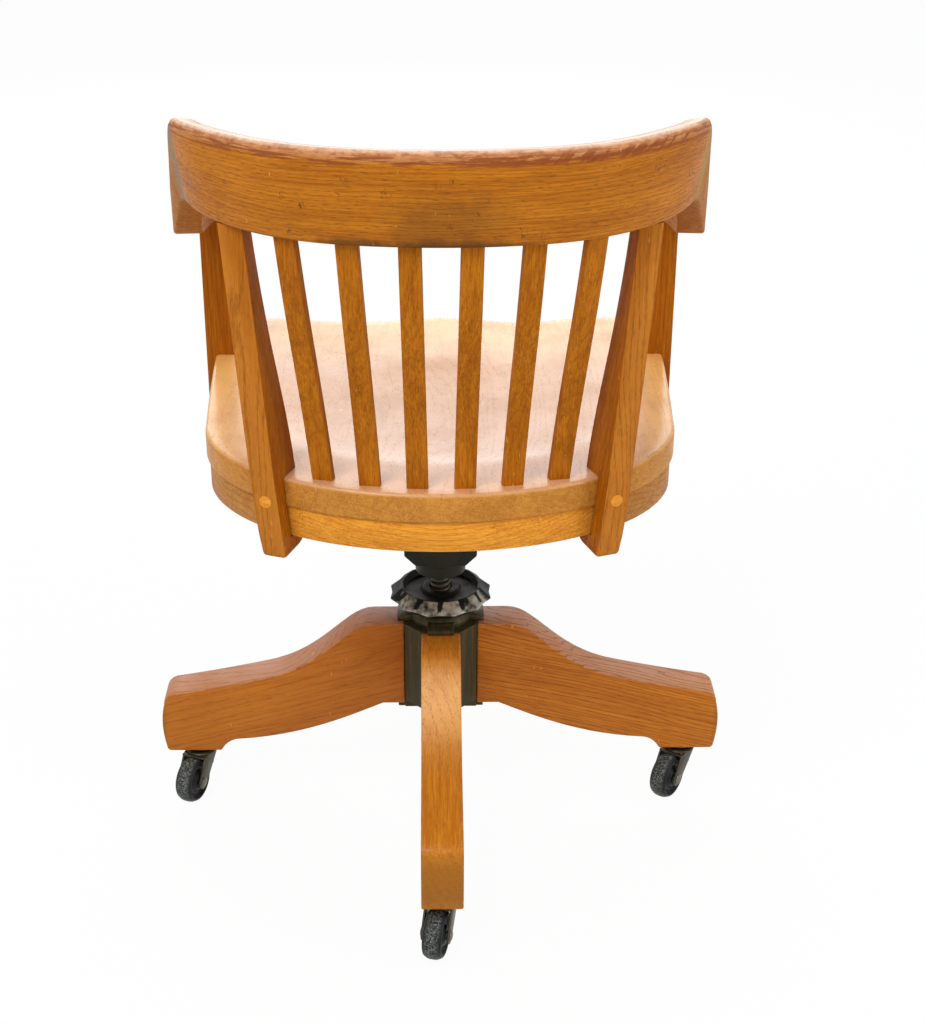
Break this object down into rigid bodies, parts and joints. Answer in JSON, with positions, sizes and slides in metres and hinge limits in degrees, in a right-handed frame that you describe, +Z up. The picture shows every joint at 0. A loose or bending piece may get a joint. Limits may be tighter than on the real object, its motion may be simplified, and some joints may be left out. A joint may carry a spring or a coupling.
{
  "type": "bankers swivel chair",
  "caption": "Oak swivel armchair on casters: curved back of slats, scooped seat, sprung tilt and a hand nut that sets the height.",
  "frame": {"origin": "on the floor under the height screw", "axes": "+Z up, the sitter faces -Y, the back is at +Y, +X is the sitter's left arm"},
  "size_m": [0.608, 0.6194, 0.7904],
  "materials": {
    "oak": "satin varnished oak",
    "oak_worn": "worn varnished oak, reddish",
    "oak_plug": "pale end-grain oak",
    "black_iron": "dark bronzed cast iron, worn at the edges",
    "bronzed_steel": "dark bronzed steel",
    "bright_steel": "plain bright steel",
    "wheel_rubber": "hard black rubber with a scuffed tread"
  },
  "bodies": {
    "base": {"hub_casting": "black_iron", "hub_cap": "black_iron", "leg_front": "oak", "leg_left": "oak", "leg_rear": "oak", "leg_right": "oak", "caster_socket_front": "bright_steel", "caster_socket_left": "bright_steel", "caster_socket_rear": "bright_steel", "caster_socket_right": "bright_steel"},
    "hand_nut": {"hand_nut": "black_iron"},
    "height_screw": {"height_screw": "bronzed_steel", "swivel_retainer": "bright_steel"},
    "swivel_head": {"swivel_head": "black_iron", "tilt_pin": "bright_steel", "tilt_spring": "bright_steel"},
    "tension_knob": {"tension_knob": "black_iron"},
    "tension_screw": {"tension_screw": "bronzed_steel"},
    "seat": {"seat_spider": "black_iron", "spider_screw_1": "bright_steel", "spider_screw_2": "bright_steel", "spider_screw_3": "bright_steel", "spider_screw_4": "bright_steel", "seat_board": "oak", "apron_rear": "oak", "apron_front": "oak", "apron_left": "oak", "apron_right": "oak", "back_post_left": "oak", "back_post_right": "oak", "arm_post_left": "oak", "arm_post_right": "oak", "slat_1": "oak", "slat_2": "oak", "slat_3": "oak", "slat_4": "oak", "slat_5": "oak", "slat_6": "oak", "crest_rail": "oak_worn", "arm_left": "oak_worn", "arm_right": "oak_worn", "post_plug_left": "oak_plug", "post_plug_right": "oak_plug"},
    "caster_front": {"caster_fork_front": "bronzed_steel", "caster_axle_front": "bright_steel"},
    "wheel_front": {"caster_wheel_front": "wheel_rubber"},
    "caster_left": {"caster_fork_left": "bronzed_steel", "caster_axle_left": "bright_steel"},
    "wheel_left": {"caster_wheel_left": "wheel_rubber"},
    "caster_rear": {"caster_fork_rear": "bronzed_steel", "caster_axle_rear": "bright_steel"},
    "wheel_rear": {"caster_wheel_rear": "wheel_rubber"},
    "caster_right": {"caster_fork_right": "bronzed_steel", "caster_axle_right": "bright_steel"},
    "wheel_right": {"caster_wheel_right": "wheel_rubber"}
  },
  "joints": [
    {"name": "nut_spin", "type": "hinge", "parent": "base", "child": "hand_nut", "pos_m": [0, 0, 0.248], "axis": [0, 0, 1], "range_deg": [-4536, 965]},
    {"name": "seat_height", "type": "slide", "parent": "base", "child": "height_screw", "axis": [0, 0, 1], "range_m": [-0.017, 0.08]},
    {"name": "seat_swivel", "type": "hinge", "parent": "height_screw", "child": "swivel_head", "pos_m": [0, 0, 0.3], "axis": [0, 0, 1], "continuous": true},
    {"name": "seat_tilt", "type": "hinge", "parent": "swivel_head", "child": "seat", "pos_m": [0, 0, 0.35], "axis": [-1, 0, 0], "range_deg": [0, 18], "stiffness_Nm_per_rad": 60, "springref_deg": -14.32, "deforming": ["tilt_spring"]},
    {"name": "knob_spin", "type": "hinge", "parent": "swivel_head", "child": "tension_knob", "pos_m": [0, -0.063, 0.286], "axis": [0, 0, 1], "range_deg": [0, 2881]},
    {"name": "spring_tension", "type": "slide", "parent": "swivel_head", "child": "tension_screw", "axis": [0, 0, -1], "range_m": [0, 0.01]},
    {"name": "caster_swivel_front", "type": "hinge", "parent": "base", "child": "caster_front", "pos_m": [0, -0.266, 0.06], "axis": [0, 0, 1], "continuous": true},
    {"name": "wheel_spin_front", "type": "hinge", "parent": "caster_front", "child": "wheel_front", "pos_m": [0.00976, -0.24407, 0.025], "axis": [0.9135, -0.4067, 0], "continuous": true},
    {"name": "caster_swivel_left", "type": "hinge", "parent": "base", "child": "caster_left", "pos_m": [0.266, 0, 0.06], "axis": [0, 0, 1], "continuous": true},
    {"name": "wheel_spin_left", "type": "hinge", "parent": "caster_left", "child": "wheel_left", "pos_m": [0.27499, 0.02225, 0.025], "axis": [0.9272, -0.3746, 0], "continuous": true},
    {"name": "caster_swivel_rear", "type": "hinge", "parent": "base", "child": "caster_rear", "pos_m": [0, 0.266, 0.06], "axis": [0, 0, 1], "continuous": true},
    {"name": "wheel_spin_rear", "type": "hinge", "parent": "caster_rear", "child": "wheel_rear", "pos_m": [0.00581, 0.28929, 0.025], "axis": [0.9703, -0.2419, 0], "continuous": true},
    {"name": "caster_swivel_right", "type": "hinge", "parent": "base", "child": "caster_right", "pos_m": [-0.266, 0, 0.06], "axis": [0, 0, 1], "continuous": true},
    {"name": "wheel_spin_right", "type": "hinge", "parent": "caster_right", "child": "wheel_right", "pos_m": [-0.25189, 0.01942, 0.025], "axis": [0.809, -0.5878, 0], "continuous": true}
  ],
  "couplings": [
    {"joint": "nut_spin", "follows": "seat_height", "rad_per_m": -989.48},
    {"joint": "knob_spin", "follows": "spring_tension", "rad_per_m": 5026.5}
  ]
}
